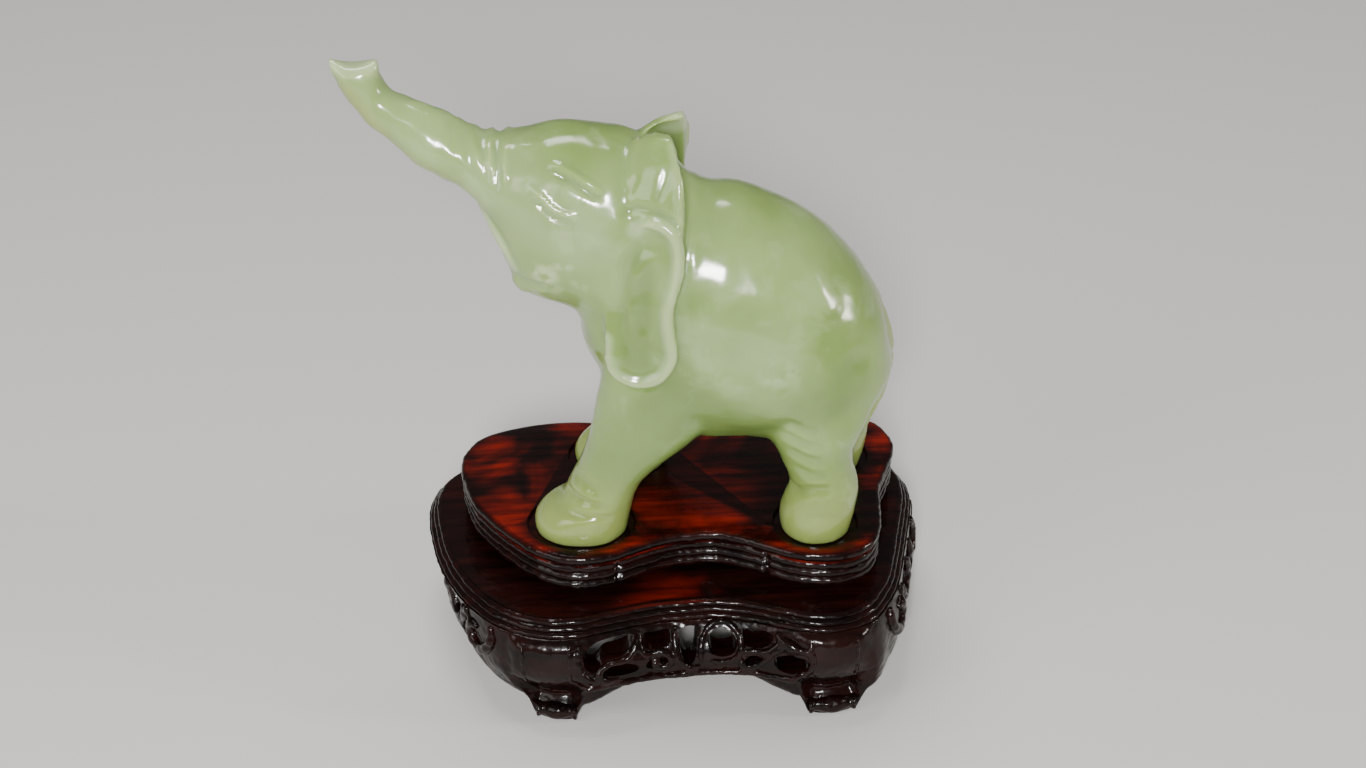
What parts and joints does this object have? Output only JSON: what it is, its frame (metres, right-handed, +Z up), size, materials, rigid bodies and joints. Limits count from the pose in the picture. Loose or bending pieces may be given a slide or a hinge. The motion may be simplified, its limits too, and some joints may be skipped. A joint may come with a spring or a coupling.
{
  "type": "elephant figurine on stand",
  "caption": "Polished stone elephant with a raised trunk, seated in shallow sockets of a lobed, pierced and reeded dark wood stand; a display ornament.",
  "frame": {"origin": "under the middle of the whole work's length and depth, at the level of the stand's soles", "axes": "+Z up; the elephant faces -X; the side shown to the viewer faces -Y"},
  "size_m": [0.1216, 0.075, 0.1369],
  "materials": {
    "celadon_jade": "high polish",
    "dark_lacquered_wood": "glossy lacquer"
  },
  "bodies": {
    "root": {"jade_elephant": "celadon_jade", "wood_stand": "dark_lacquered_wood"}
  },
  "joints": []
}
